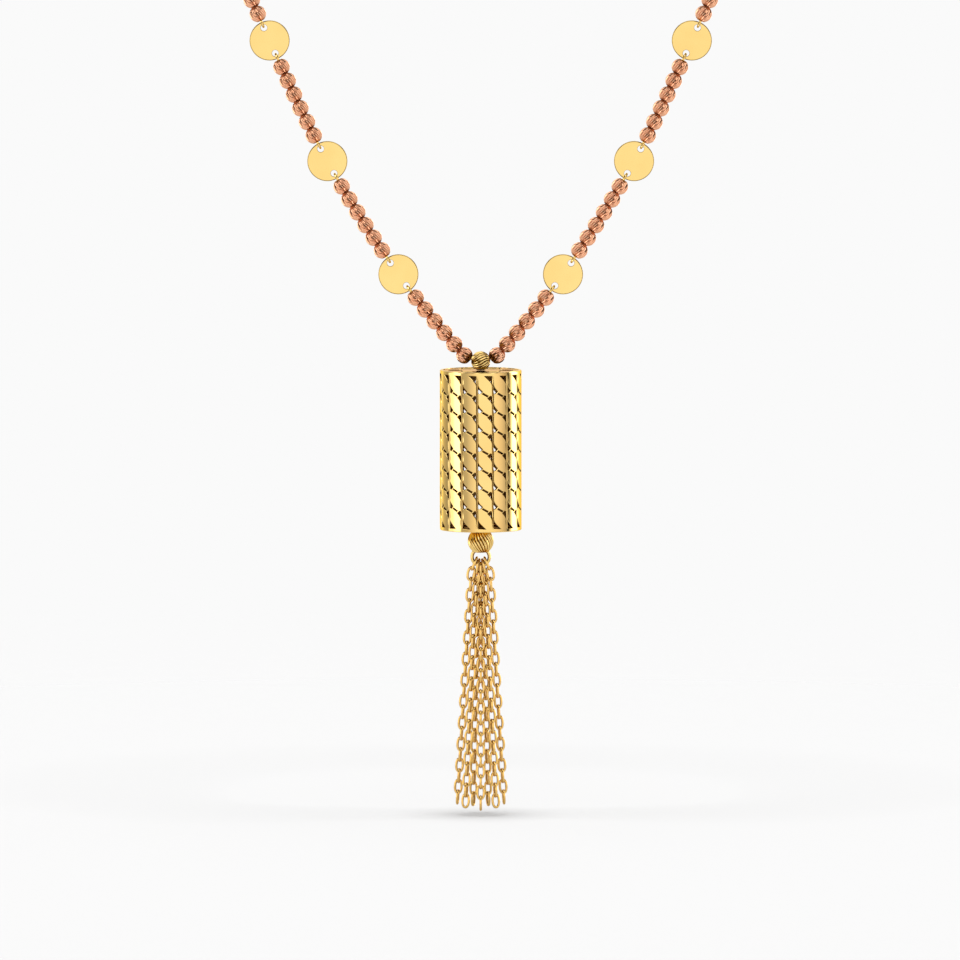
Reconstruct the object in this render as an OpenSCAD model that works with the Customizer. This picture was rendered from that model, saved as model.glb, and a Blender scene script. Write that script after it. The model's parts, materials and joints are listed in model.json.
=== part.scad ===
// Tassel necklace: strung beads and flat discs, with an openwork barrel and a chain tassel.
// The origin is the middle of the neck opening. +Z is up, and the front faces -Y.

/* [Loop] */
// Height of the neck's middle above the pendant's pivot
pivot_drop = 100; // [95:1:105]
// How far the pendant's pivot lies in front of the neck's middle
pivot_forward = 45; // [40:1:50]
// Discs on each side of the loop
discs_per_side = 10; // [10]

/* [Strung beads] */
// Diameter of a rose gold bead
bead_d = 2.5; // [2.4:0.05:2.6]
// Length of a bead along the wire, between its flat ends
bead_l = 2.2; // [2.0:0.05:2.2]
// Distance between neighbouring beads, middle to middle
bead_pitch = 2.27; // [2.27:0.01:2.3]
// Beads between two discs
beads_per_run = 6; // [6]
// Diameter of the stringing wire
wire_d = 0.5; // [0.4:0.05:0.5]
// Arc length from the pendant's pivot to the first bead's middle
first_bead = 3.05; // [3:0.01:3.1]

/* [Discs] */
// Diameter of a disc
disc_d = 6; // [5.8:0.1:6.2]
// Thickness of a disc
disc_t = 0.5; // [0.4:0.05:0.5]
// Width of the bevel round a disc's edge
disc_bevel = 0.12; // [0.05:0.01:0.15]
// Diameter of a disc's holes
hole_d = 1; // [0.9:0.05:1.1]
// Distance from a disc's middle to the middle of a hole
hole_offset = 2.09; // [2.05:0.01:2.1]
// Distance from a disc's middle to the next bead's middle
disc_to_bead = 4.36; // [4.34:0.01:4.4]

/* [End loops] */
// Diameter of a wire loop, between wire middles
loop_d = 1.24; // [1.2:0.01:1.26]
// Diameter of the loop's wire
loop_wire_d = 0.36; // [0.3:0.02:0.36]
// Distance from a disc's middle to the middle of a loop
loop_offset = 2.85; // [2.83:0.01:2.87]

/* [Clasp] */
// Diameter of the clasp's body
clasp_d = 3.4; // [3:0.1:4]
// Length of the clasp's body
clasp_l = 11; // [9:0.5:11]
// Width of the bevel at the ends of the clasp's body
clasp_bevel = 0.7; // [0.4:0.1:1]

/* [Pendant beads] */
// Diameter of the bead on top of the barrel
top_bead_d = 2.92; // [2.8:0.02:2.96]
// Width of the top bead between the flats at its bore
top_bead_w = 2.84; // [2.7:0.02:2.86]
// Diameter of the bore that the stringing wire passes through
top_bore_d = 0.66; // [0.6:0.02:0.7]
// Diameter of the bead under the barrel
lower_bead_d = 3.9; // [3.7:0.1:4]
// Height of the lower bead's middle below the barrel's foot
lower_bead_drop = 1.75; // [1.6:0.05:1.8]
// Height of the lower bead's flat end below its middle
lower_bead_foot = 1.73; // [1.6:0.01:1.8]

/* [Barrel] */
// Outer diameter of the barrel
barrel_d = 12.3; // [12:0.1:12.6]
// Height of the barrel
barrel_h = 24; // [23:0.5:25]
// Thickness of the barrel's wall
barrel_wall = 0.5; // [0.4:0.05:0.6]
// Height of the plain rim at each end
rim_h = 0.45; // [0.4:0.05:0.6]
// Depth of the barrel's top below the pendant's pivot
barrel_top = 1.34; // [1.3:0.01:1.36]
// Columns of tiles in the front half of the barrel
front_columns = 8; // [8]
// Columns of tiles in the back half, between two plain seams half a column wide
back_columns = 7; // [7]
// Rows of tiles
tile_rows = 8; // [8]
// Turn of the column edge nearest to the front, in degrees
tile_phase = -5; // [-10:1:10]
// Thickness of the end caps
cap_t = 0.45; // [0.4:0.05:0.6]
// Round openings in each cap
cap_holes = 6; // [5,6]
// Diameter of those openings
cap_hole_d = 2.3; // [2:0.1:2.4]
// Distance from the barrel's axis to the middle of an opening
cap_hole_offset = 3.8; // [3.7:0.1:3.9]

/* [Tassel] */
// Outer diameter of the ring that carries the tassel
ring_d = 3.1; // [3:0.05:3.2]
// Diameter of the ring's wire
ring_wire_d = 0.52; // [0.45:0.01:0.55]
// Depth of the ring's middle below the barrel's foot
ring_drop = 4.14; // [4.1:0.01:4.2]
// Depth of the tassel's tip below the barrel's foot
tassel_tip = 41.95; // [40:0.05:43]
// Diameter of the tassel just under the ring
tassel_neck_d = 3.8; // [3.6:0.1:4]
// Diameter of the tassel at its foot
tassel_foot_d = 8.2; // [7.5:0.1:9]
// Width of the bevel round the tassel's foot
tassel_bevel = 0.3; // [0.1:0.1:0.5]

/* [Hidden] */
$fn = 64;
bore_cut = 1;
loop_clearance = 0.12;
cutter_reach = 0.15;

// Course of one side of the loop, from the pendant's pivot to the nape.
// Columns: arc length, lean from upright, turn of the lean from sideways towards the back.
course = [
    [0, 90, 0],
    [1.5, 90, 0],
    [1.6, 61, 46],
    [2.9, 61, 46],
    [3, 43, 0],
    [8, 40, 0],
    [14, 38, 0],
    [20, 34.5, 0],
    [30, 32, 0],
    [39, 28.5, 0],
    [50, 24.5, 0],
    [66, 23.5, 0],
    [90, 48, 46],
    [120, 64, 82],
    [160, 70, 111],
    [200, 88, 165],
    [216, 90, 180],
    [230, 90, 180]
];
lean_table = [for (row = course) [row[0], row[1]]];
turn_table = [for (row = course) [row[0], row[2]]];

// Openings of one cell of the barrel's wall, round the middle of the slot between two tiles.
// Columns: sideways in column widths, upwards in row heights. The gusset is used twice, point
// for point opposite, and the end gusset closes the first and last row against the rims.
slot_outline = [[-0.108, 0.093], [0.176, -0.028], [0.108, -0.093], [-0.176, 0.028]];
gusset_outline = [[-0.449, 0.53], [-0.43, 0.06], [-0.324, 0.047], [-0.153, 0.177], [-0.3, 0.31]];
end_gusset_outline = [[-0.449, 0.53], [-0.44, 0.02], [0.05, 0.02], [-0.153, 0.177], [-0.3, 0.31]];

pivot = [0, -pivot_forward, -pivot_drop];
run_l = (beads_per_run - 1) * bead_pitch;
disc_pitch = run_l + 2 * disc_to_bead;
eye_wall = disc_d / 2 - hole_offset;
last_bead = first_bead + discs_per_side * disc_pitch + run_l;
clasp_eye = last_bead + disc_to_bead - hole_offset;
corner = (course[1][0] + course[2][0]) / 2;
barrel_foot = -barrel_top - barrel_h;
column_turn = 360 / (front_columns + back_columns + 1);
column_w = PI * barrel_d * column_turn / 360;
front_edge = tile_phase - front_columns / 2 * column_turn;
back_edge = front_edge + (front_columns + 0.5) * column_turn;
column_middles = concat(
    [for (i = [0:front_columns - 1]) front_edge + (i + 0.5) * column_turn],
    [for (i = [0:back_columns - 1]) back_edge + (i + 0.5) * column_turn]
);
row_h = (barrel_h - 2 * rim_h) / tile_rows;
ring_middle_d = ring_d - ring_wire_d;

path_step = 0.25;
path_count = ceil(course[len(course) - 1][0] / path_step);
path = [for (i = 0, p = pivot; i <= path_count;
    p = p + path_step * heading((i + 0.5) * path_step), i = i + 1) p];

// Direction of the loop at arc length s
function heading(s) =
    let (lean = lookup(s, lean_table), turn = lookup(s, turn_table))
    [sin(lean) * cos(turn), sin(lean) * sin(turn), cos(lean)];

// Point of the loop at arc length s
function place(s) =
    let (i = floor(s / path_step))
    path[i] + (s - i * path_step) * heading(s);

// Arc length of disc k, counted from the pendant
function disc_at(k) = first_bead + run_l + disc_to_bead + (k - 1) * disc_pitch;

// Puts its children on the loop at arc length s, with Z along the loop and Y into the neck
module on_loop(s)
    translate(place(s))
        rotate([0, lookup(s, lean_table), lookup(s, turn_table)])
            children();

// Mirrors its children to the wearer's other side where side is -1
module on_side(side)
    if (side < 0)
        mirror([1, 0, 0]) children();
    else
        children();

// Sphere cut flat at both ends of its Z axis
module cut_sphere(d, l)
    intersection() {
        sphere(d = d);
        cube([d + bore_cut, d + bore_cut, l], center = true);
    }

// Round bar along Z with bevelled ends
module bevelled_bar(d, l, bevel)
    rotate_extrude()
        polygon([
            [0, -l / 2],
            [d / 2 - bevel, -l / 2],
            [d / 2, -l / 2 + bevel],
            [d / 2, l / 2 - bevel],
            [d / 2 - bevel, l / 2],
            [0, l / 2]
        ]);

// Straight wire between two points
module wire(a, b, d)
    translate(a)
        rotate([0, acos((b - a)[2] / norm(b - a)), atan2((b - a)[1], (b - a)[0])])
            cylinder(d = d, h = norm(b - a));

// Ring of wire in the XZ plane
module wire_ring(middle_d, wire_d)
    rotate([90, 0, 0])
        rotate_extrude()
            translate([middle_d / 2, 0])
                circle(d = wire_d);

// Wire loop through a hole of the disc at arc length s, on its far side (1) or near side (-1)
module end_loop(s, far)
    on_loop(s)
        translate([0, 0, far * loop_offset])
            rotate([0, 0, 90])
                wire_ring(loop_d, loop_wire_d);

// Beads and the wire between them, from the bead at arc length s
module strung_beads(s) {
    for (i = [0:beads_per_run - 1])
        on_loop(s + i * bead_pitch)
            cut_sphere(bead_d, bead_l);
    for (i = [0:beads_per_run - 2])
        wire(place(s + i * bead_pitch), place(s + (i + 1) * bead_pitch), wire_d);
}

// Run of beads behind disc k, with a loop at each end
module beads(k, side)
    color([0.82, 0.52, 0.4])
        on_side(side) {
            strung_beads(disc_at(k) + disc_to_bead);
            end_loop(disc_at(k), 1);
            end_loop(disc_at(k + 1), -1);
        }

// Run of beads on both sides of the pendant, on one wire through the top bead
module beads_front()
    color([0.82, 0.52, 0.4]) {
        for (side = [-1, 1])
            on_side(side) {
                strung_beads(first_bead);
                end_loop(disc_at(1), -1);
                wire(pivot + [corner, 0, 0], place(first_bead), wire_d);
                translate(pivot + [corner, 0, 0])
                    sphere(d = wire_d);
            }
        wire(pivot - [corner, 0, 0], pivot + [corner, 0, 0], wire_d);
    }

// Flat disc with a bevelled edge and two holes on the line of the loop
module disc(k, side)
    color([0.95, 0.78, 0.42])
        on_side(side)
            on_loop(disc_at(k))
                difference() {
                    rotate([90, 0, 0])
                        rotate_extrude()
                            polygon([
                                [0, -disc_t / 2],
                                [disc_d / 2 - disc_bevel, -disc_t / 2],
                                [disc_d / 2, -disc_t / 2 + disc_bevel],
                                [disc_d / 2, disc_t / 2 - disc_bevel],
                                [disc_d / 2 - disc_bevel, disc_t / 2],
                                [0, disc_t / 2]
                            ]);
                    for (far = [-1, 1])
                        translate([0, 0, far * hole_offset])
                            rotate([90, 0, 0])
                                cylinder(d = hole_d, h = disc_t + bore_cut, center = true);
                }

// Eye plate of the clasp, with its hole at the origin and its neck along X
module clasp_eye_plate(neck_l)
    rotate([90, 0, 0])
        difference() {
            union() {
                cylinder(r = eye_wall, h = disc_t, center = true);
                translate([neck_l / 2, 0, 0])
                    cube([neck_l, 2 * eye_wall, disc_t], center = true);
            }
            cylinder(d = hole_d, h = disc_t + bore_cut, center = true);
        }

// Plain closed clasp at the nape
module clasp() {
    eye = place(clasp_eye);
    neck_l = eye[0] - clasp_l / 2 + disc_t;
    color([0.95, 0.78, 0.42])
        translate([0, eye[1], eye[2]]) {
            rotate([0, 90, 0])
                bevelled_bar(clasp_d, clasp_l, clasp_bevel);
            for (side = [-1, 1])
                on_side(side)
                    translate([eye[0], 0, 0])
                        mirror([1, 0, 0])
                            clasp_eye_plate(neck_l);
        }
}

// Bead on the barrel, cross-drilled, with flats at the bore and under its foot
module top_bead()
    color([0.9, 0.72, 0.35])
        translate(pivot)
            difference() {
                rotate([0, 90, 0])
                    cut_sphere(top_bead_d, top_bead_w);
                rotate([0, 90, 0])
                    cylinder(d = top_bore_d, h = top_bead_w + bore_cut, center = true);
                translate([0, 0, -barrel_top - top_bead_d / 2])
                    cube(top_bead_d, center = true);
            }

// Straight cutter through the wall, on the outline of one opening
module wall_cutter(outline, mirrored)
    translate([0, cutter_reach - barrel_d / 2 + barrel_wall, 0])
        rotate([90, 0, 0])
            linear_extrude(height = barrel_wall + 3 * cutter_reach)
                polygon([for (p = outline) mirrored * [p[0] * column_w, p[1] * row_h]]);

// Openings of one column of the wall, from the top rim down
module column_openings() {
    for (row = [1:tile_rows - 1])
        translate([0, 0, -rim_h - row * row_h]) {
            wall_cutter(slot_outline, 1);
            wall_cutter(gusset_outline, 1);
            wall_cutter(gusset_outline, -1);
        }
    translate([0, 0, -rim_h])
        wall_cutter(end_gusset_outline, -1);
    translate([0, 0, -rim_h - tile_rows * row_h])
        wall_cutter(end_gusset_outline, 1);
}

// Pierced cap with its lower face at the origin and a spoke at the front
module cap()
    difference() {
        cylinder(d = barrel_d - barrel_wall, h = cap_t);
        for (i = [0:cap_holes - 1])
            rotate([0, 0, (i + 0.5) * 360 / cap_holes])
                translate([0, -cap_hole_offset, -bore_cut / 2])
                    cylinder(d = cap_hole_d, h = cap_t + bore_cut);
    }

// Openwork barrel with its two caps
module barrel()
    color([0.95, 0.78, 0.42])
        translate(pivot - [0, 0, barrel_top]) {
            difference() {
                translate([0, 0, -barrel_h])
                    cylinder(d = barrel_d, h = barrel_h);
                translate([0, 0, -barrel_h - bore_cut / 2])
                    cylinder(d = barrel_d - 2 * barrel_wall, h = barrel_h + bore_cut);
                for (turn = column_middles)
                    rotate([0, 0, turn])
                        column_openings();
            }
            translate([0, 0, -cap_t])
                cap();
            translate([0, 0, -barrel_h])
                cap();
        }

// Bead under the barrel with the tassel's ring soldered in its foot
module lower_bead()
    color([0.9, 0.72, 0.35])
        translate(pivot + [0, 0, barrel_foot]) {
            intersection() {
                translate([0, 0, -lower_bead_drop])
                    sphere(d = lower_bead_d);
                translate([-lower_bead_d / 2, -lower_bead_d / 2, -lower_bead_drop - lower_bead_foot])
                    cube([lower_bead_d, lower_bead_d, lower_bead_drop + lower_bead_foot]);
            }
            translate([0, 0, -ring_drop])
                wire_ring(ring_middle_d, ring_wire_d);
        }

// Outer form of the hanging chains, with a way through for the ring
module tassel() {
    top_z = -ring_drop;
    shoulder_z = top_z - ring_d / 2;
    color([0.88, 0.68, 0.32])
        translate(pivot + [0, 0, barrel_foot])
            difference() {
                rotate_extrude()
                    polygon([
                        [0, top_z],
                        [tassel_neck_d / 4, top_z],
                        [tassel_neck_d / 2, shoulder_z],
                        [tassel_foot_d / 2, -tassel_tip + tassel_bevel],
                        [tassel_foot_d / 2 - tassel_bevel, -tassel_tip],
                        [0, -tassel_tip]
                    ]);
                translate([0, 0, -ring_drop])
                    wire_ring(ring_middle_d, ring_wire_d + 2 * loop_clearance);
            }
}

beads_front();
for (k = [1:discs_per_side]) {
    disc(k, 1);
    disc(k, -1);
    beads(k, 1);
    beads(k, -1);
}
clasp();
top_bead();
barrel();
lower_bead();
tassel();
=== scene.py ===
import json
import math

import bmesh
import bpy
import numpy as np
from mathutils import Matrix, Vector
from mathutils.geometry import delaunay_2d_cdt


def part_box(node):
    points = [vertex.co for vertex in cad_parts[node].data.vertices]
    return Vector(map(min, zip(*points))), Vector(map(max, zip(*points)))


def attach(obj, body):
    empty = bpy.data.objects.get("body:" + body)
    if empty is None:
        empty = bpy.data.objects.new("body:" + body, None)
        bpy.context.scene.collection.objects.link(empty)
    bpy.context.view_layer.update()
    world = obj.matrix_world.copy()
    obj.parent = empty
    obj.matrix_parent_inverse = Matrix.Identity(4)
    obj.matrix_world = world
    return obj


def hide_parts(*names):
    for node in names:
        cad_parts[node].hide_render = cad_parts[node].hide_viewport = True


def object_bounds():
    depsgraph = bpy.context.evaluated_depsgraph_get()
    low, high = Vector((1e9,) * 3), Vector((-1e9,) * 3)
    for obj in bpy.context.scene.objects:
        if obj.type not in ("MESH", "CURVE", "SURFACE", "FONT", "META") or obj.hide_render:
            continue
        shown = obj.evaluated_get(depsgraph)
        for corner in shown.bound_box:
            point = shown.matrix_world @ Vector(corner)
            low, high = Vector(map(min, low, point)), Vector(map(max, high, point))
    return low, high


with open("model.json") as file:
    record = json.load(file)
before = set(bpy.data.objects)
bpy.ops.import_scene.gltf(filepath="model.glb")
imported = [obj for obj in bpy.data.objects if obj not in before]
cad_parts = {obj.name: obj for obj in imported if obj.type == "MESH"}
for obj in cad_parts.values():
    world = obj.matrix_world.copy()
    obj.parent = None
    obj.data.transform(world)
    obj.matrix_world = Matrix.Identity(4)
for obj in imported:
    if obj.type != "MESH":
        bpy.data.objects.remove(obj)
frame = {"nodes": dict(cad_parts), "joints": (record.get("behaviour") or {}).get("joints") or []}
cad_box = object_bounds()

# The necklace hangs as on a neck. Its front faces -Y, and Z is up. Shapes are worked out in
# millimetres and turned into metres when their mesh is made.
MM = 0.001
SIDES = {"r": 1, "l": -1}

# Margins within which lengths count as the same, in millimetres, and a floor for divisors
SAME_POINT = 1e-5
SAME_LINE = 1e-4
SAME_RADIUS = 1e-3
LEAST_DIVISOR = 1e-9
# Cosine from which a face counts as facing a direction
FACING = 0.9

# The photograph's view
PHOTO_SIDE = 960
MM_PER_PIXEL = 0.15
PIVOT_PIXEL = (480.7, 361.0)
CAMERA_RISE = math.radians(4.6)
CAMERA_AWAY = 3.0
CAMERA_REACH = 20.0
SENSOR = 36.0

# Strung beads and their wire
BEAD_R = 1.25
BEAD_HALF = 1.13
BEAD_PITCH = 2.27
BEADS_PER_RUN = 6
DISC_TO_BEAD = 4.36
BORE_R = 0.3
WIRE_R = 0.25
WIRE_SIDES = 10
LOOP_OFFSET = 2.85
LOOP_MIDDLE_R = 0.62
LOOP_WIRE_R = 0.18
LOOP_STEPS = 20
LOOP_SIDES = 8

# How a bead's middle is read from the points near it: rounds of the fit, share of the points that
# each round keeps, and half the depth of the shell that they are taken from, in bead pitches
FIT_ROUNDS = 4
FIT_KEPT = 0.8
FIT_SHELL = 0.4

# Flat discs
DISC_T = 0.5
DISC_EDGE = 0.12
DISC_HOLE_R = 0.5
DISC_HOLE_OFFSET = 2.09
DISC_HOLE_EDGE = 0.04
DISC_POINTS = 96
HOLE_POINTS = 32

# Leaf-shaped cuts of a rose gold bead. Each is one column wide and two steps long, and the valley at
# its bottom stops short of its two tips by a share of a step.
CUT_COLUMNS = 22
CUT_STEPS = 4
CUT_DEPTH = 0.078
CUT_TWIST = 0.3
VALLEY_ENDS = 0.3

# Beads of the pendant, with their spiral grooves. The two exponents round the grooves and the ridges
# between them, and the grooves run out towards the ends, the later the larger the fade.
LOWER_BEAD_FOOT = 1.73
LOWER_BEAD_DROP = 1.75
# Columns: grooves round the bead, their depth, their twist, and rings of points from end to end
TOP_GROOVES = (18, 0.16, -0.55, 28)
LOWER_GROOVES = (22, 0.25, -0.5, 32)
POINTS_PER_GROOVE = 8
GROOVE_EXPONENT = 1.6
RIDGE_EXPONENT = 0.75
GROOVE_FADE = 1.6
# Faces deeper in a bead than this are rougher and painted darker, as painted shade in the grooves
SHADED_DEPTH = 0.11

# Openwork barrel. Two plain seams, a share of a column wide, part its front and back columns.
FRONT_COLUMNS = 8
BACK_COLUMNS = 7
SEAM_SHARE = 0.5
COLUMN_TURN = 2 * math.pi / (FRONT_COLUMNS + BACK_COLUMNS + 2 * SEAM_SHARE)
TILE_PHASE = math.radians(-5)
FRONT_EDGE = TILE_PHASE - FRONT_COLUMNS / 2 * COLUMN_TURN
ROWS = 8
WALL = 0.5
RIM = 0.45
# Faces deeper in the barrel's wall than this are rougher and painted darker, as painted shade inside
# the barrel and its openings
SHADE_DEPTH = 0.2

# Relief of the barrel's wall: bevels of its openings and rims, and the round wires between the
# columns, with a groove beside each. A wire starts some column widths from the column's middle and
# ends just inside the rows of tiles, and the bevel beside it is steep over a share of its width.
BEVEL = 0.055
RIM_BEVEL = 0.1
WIRE_LINE = 0.449
WIRE_CREST = 0.03
WIRE_GROOVE = 0.15
STEEP_SHARE = 0.3
ROW_END = 0.02

# Net of the barrel's wall: steps over half a wire, across a column, up a row at the column's side and
# inside it, and between two points of a gusset's wire side and tile side. A corner of an offset
# outline is clipped where its cosine is under the least one.
WIRE_STEPS = 3
ACROSS_STEPS = 8
SIDE_STEPS = 12
NET_STEPS = 8
WIRE_SIDE_STEPS = 3
TILE_SIDE_STEPS = 4
LEAST_MITER = 0.6

# Pierced caps, which are sunk a little in the ends of the wall
CAP = 0.45
CAP_SINK = 0.05
CAP_HOLES = 6
CAP_HOLE_R = 1.15
CAP_HOLE_OFFSET = 3.8
CAP_POINTS = 64

# Outlines round the middle of a slot, in column widths and row heights, upwards
SLOT = [(-0.13, 0.115), (0.2, -0.035), (0.13, -0.115), (-0.2, 0.035)]
GUSSET_WIRE_SIDE = [(-0.449, 0.53), (-0.449, 0.2), (-0.435, 0.085), (-0.381, 0.05), (-0.324, 0.047),
                    (-0.153, 0.177)]
GUSSET_TILE_SIDE = [(-0.153, 0.177), (-0.267, 0.27), (-0.381, 0.391), (-0.449, 0.53)]
END_WIRE_SIDE = [(-0.449, 0.53), (-0.446, 0.2), (-0.44, 0.02), (0.05, 0.02)]
END_TILE_SIDE = [(0.05, 0.02), (-0.153, 0.177), (-0.267, 0.27), (-0.381, 0.391), (-0.449, 0.53)]

# Tassel
RING_MIDDLE_R = 1.29
RING_WIRE_R = 0.26
RING_STEPS = 48
RING_SIDES = 14
LINK_HALF_W = 0.5
LINK_HALF_L = 0.985
LINK_WIRE_R = 0.19
LINK_STEPS = 24
LINK_SIDES = 8
LINK_SQUARENESS = 0.9
LINKS = 23
# Cosines from which a face of the ring or of a link counts as facing inwards, and is painted darker as
# shade
RING_INSIDE = 0.3
LINK_INSIDE = 0.5
# One row for each strand. All but the first are made again, mirrored, on the other side. Columns:
# middle of the first link and of the last one (sideways, towards the back, and down from the ring's
# middle), lean of the first link, lean of the way to the second, and twist, all three in degrees.
STRANDS = [
    ((0, -0.2, 1.86), (0.0, -3.4, 36.76), 0, 0, 0),
    ((0.945, -0.1, 0.99), (3.46, -0.6, 36.11), 23, 18, 8),
    ((0.525, -0.15, 1.54), (2.26, -2.7, 36.48), 8, 5, 107),
    ((0.285, 0.25, 1.37), (1.12, 3.1, 36.72), 4, 2, 22),
]
TWIST_LINKS = 4


# Shapes: each form is (points in mm, triangles, quads)

def form(points, tris=(), quads=()):
    """A form from its points and faces"""
    return (
        np.asarray(points, float).reshape(-1, 3),
        np.asarray(tris, int).reshape(-1, 3),
        np.asarray(quads, int).reshape(-1, 4),
    )


def joined(forms):
    """One form from several"""
    points, tris, quads, count = [], [], [], 0
    for p, t, q in forms:
        points.append(p)
        tris.append(t + count)
        quads.append(q + count)
        count += len(p)
    return np.vstack(points), np.vstack(tris), np.vstack(quads)


def placed(shape, middle, axes=np.eye(3)):
    """A form turned so that its own X, Y and Z lie along axes, and moved to middle"""
    p, t, q = shape
    return p @ np.asarray(axes) + np.asarray(middle), t, q


def unit(vector):
    """A vector at length 1"""
    return vector / np.linalg.norm(vector)


def grid_quads(rows, columns, wrap_rows=False):
    """Quads of a grid of points that runs row by row, with each row closed round"""
    r = np.arange(rows if wrap_rows else rows - 1)
    r, c = [g.ravel() for g in np.meshgrid(r, np.arange(columns), indexing="ij")]
    r_next, c_next = (r + 1) % rows, (c + 1) % columns
    return np.stack([r * columns + c, r * columns + c_next, r_next * columns + c_next,
                     r_next * columns + c], 1)


def tube(path, normal, radius, sides, looped):
    """Wire along a path in a plane, whose normal is given"""
    path = np.asarray(path, float)
    if looped:
        ahead = np.roll(path, -1, 0) - np.roll(path, 1, 0)
    else:
        ahead = np.gradient(path, axis=0)
    ahead /= np.linalg.norm(ahead, axis=1)[:, None]
    across = np.cross(ahead, normal)
    across /= np.linalg.norm(across, axis=1)[:, None]
    up = np.cross(ahead, across)
    turn = np.linspace(0, 2 * np.pi, sides, endpoint=False)
    points = (path[:, None] + radius * (np.cos(turn)[:, None] * across[:, None]
                                        + np.sin(turn)[:, None] * up[:, None]))
    return form(points, quads=grid_quads(len(path), sides, wrap_rows=looped))


def oval_link(half_w, half_l, radius, steps, sides, squareness=1.0):
    """Closed link in the XZ plane, long along Z"""
    turn = np.linspace(0, 2 * np.pi, steps, endpoint=False)
    x = half_w * np.sign(np.cos(turn)) * np.abs(np.cos(turn)) ** squareness
    z = half_l * np.sign(np.sin(turn)) * np.abs(np.sin(turn)) ** squareness
    return tube(np.stack([x, 0 * x, z], 1), np.array([0, 1, 0]), radius, sides, looped=True)


def bore_end(ring, end_z):
    """Flat end round a bead's bore, and the start of the bore, from the ring of points at its edge"""
    count = len(ring)
    side = np.sign(end_z)
    bore = ring * (1, 1, 0)
    bore *= BORE_R / np.linalg.norm(bore, axis=1)[:, None]
    lip = bore + (0, 0, end_z)
    deep = bore + (0, 0, end_z - side * BORE_R)
    quads = grid_quads(3, count)
    if side < 0:
        quads = quads[:, ::-1]
    return form(np.vstack([ring, lip, deep]), quads=quads)


def cut_outline(row, column):
    """Rows and columns of the points round one cut, of which half is left at the bead's ends"""
    outline = []
    if row > 0:
        outline += [(row - 0.5, column - 0.25), (row - 1, column), (row - 0.5, column + 0.25)]
    outline.append((row, column + 0.5))
    if row < CUT_STEPS:
        outline += [(row + 0.5, column + 0.25), (row + 1, column), (row + 0.5, column - 0.25)]
    outline.append((row, column - 0.5))
    return outline


def cut_valley(row, column):
    """Rows, columns and depths of the points at the bottom of one cut"""
    if row == 0:
        return [(VALLEY_ENDS, column, CUT_DEPTH / 2)]
    if row == CUT_STEPS:
        return [(row - VALLEY_ENDS, column, CUT_DEPTH / 2)]
    reach = 1 - 2 * VALLEY_ENDS
    return [(row - reach, column, CUT_DEPTH), (row + reach, column, CUT_DEPTH)]


def cut_bead(twist):
    """Rose gold bead along Z, covered with staggered leaf-shaped cuts that lean by the twist"""
    top = math.asin(BEAD_HALF / BEAD_R)
    step = 2 * top / CUT_STEPS
    turn = 2 * np.pi / CUT_COLUMNS

    def place(row, column, depth=0.0):
        rise = -top + row * step
        around = turn * column + twist * rise
        r = BEAD_R - depth
        return [r * math.cos(rise) * math.cos(around), r * math.cos(rise) * math.sin(around),
                r * math.sin(rise)]

    points, tris = [], []
    for row in range(CUT_STEPS + 1):
        # Each row is staggered by half a column against the last
        for column in np.arange(CUT_COLUMNS) + row % 2 / 2 + 0.5:
            outline, valley = cut_outline(row, column), cut_valley(row, column)
            first = len(points)
            low = first + len(outline)
            high = low + len(valley) - 1
            points += [place(*spot) for spot in outline + valley]
            # Each side of the outline slopes down to the nearer end of the valley
            for i, spot in enumerate(outline):
                j = (i + 1) % len(outline)
                tip = low if min(spot[0], outline[j][0]) < row else high
                tris.append((first + i, first + j, tip))
            # The length of a whole cut's valley slopes up to its left and right corner
            if high > low:
                left, right = low - 1, first + 3
                tris += [(left, low, high), (right, high, low)]
    forms = [form(points, tris)]
    for row, end_z in ((0, -BEAD_HALF), (CUT_STEPS, BEAD_HALF)):
        ring = [place(row, column + row % 2 / 2) for column in range(CUT_COLUMNS)]
        forms.append(bore_end(np.array(ring), end_z))
    return joined(forms)


def spiral_bead(radius, low, high, grooves, depth, twist, bands):
    """Bead along Z between two flat ends, with grooves that run round it in a spiral"""
    count = grooves * POINTS_PER_GROOVE
    rise = np.linspace(math.asin(low / radius), math.asin(high / radius), bands)
    around = np.linspace(0, 2 * np.pi, count, endpoint=False)
    rise, around = np.meshgrid(rise, around, indexing="ij")
    phase = np.arange(count) % POINTS_PER_GROOVE / POINTS_PER_GROOVE
    ridge = (1 - np.abs(2 * phase - 1) ** GROOVE_EXPONENT) ** RIDGE_EXPONENT
    fade = np.clip(np.cos(rise) * GROOVE_FADE, 0, 1)
    r = radius - depth * (1 - ridge)[None] * fade
    around = around + twist * rise
    points = np.stack([r * np.cos(rise) * np.cos(around), r * np.cos(rise) * np.sin(around),
                       r * np.sin(rise)], -1)
    ends = [form(points[row], tris=fan(count, row == 0)) for row in (0, -1)]
    return joined([form(points, quads=grid_quads(bands, count)), *ends])


def fan(count, down):
    """Triangles that close a ring of points"""
    tris = np.array([(0, i, i + 1) for i in range(1, count - 1)])
    return tris[:, ::-1] if down else tris


def smooth_path(points, per_span):
    """Catmull-Rom curve through the points, both ends included"""
    p = np.asarray(points, float)
    p = np.vstack([2 * p[0] - p[1], p, 2 * p[-1] - p[-2]])
    out = []
    for i in range(1, len(p) - 2):
        t = np.linspace(0, 1, per_span, endpoint=False)[:, None]
        a, b, c, d = p[i - 1:i + 3]
        out.append(0.5 * (2 * b + (c - a) * t + (2 * a - 5 * b + 4 * c - d) * t ** 2
                          + (3 * b - a - 3 * c + d) * t ** 3))
    return np.vstack(out + [p[-2:-1]])


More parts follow.
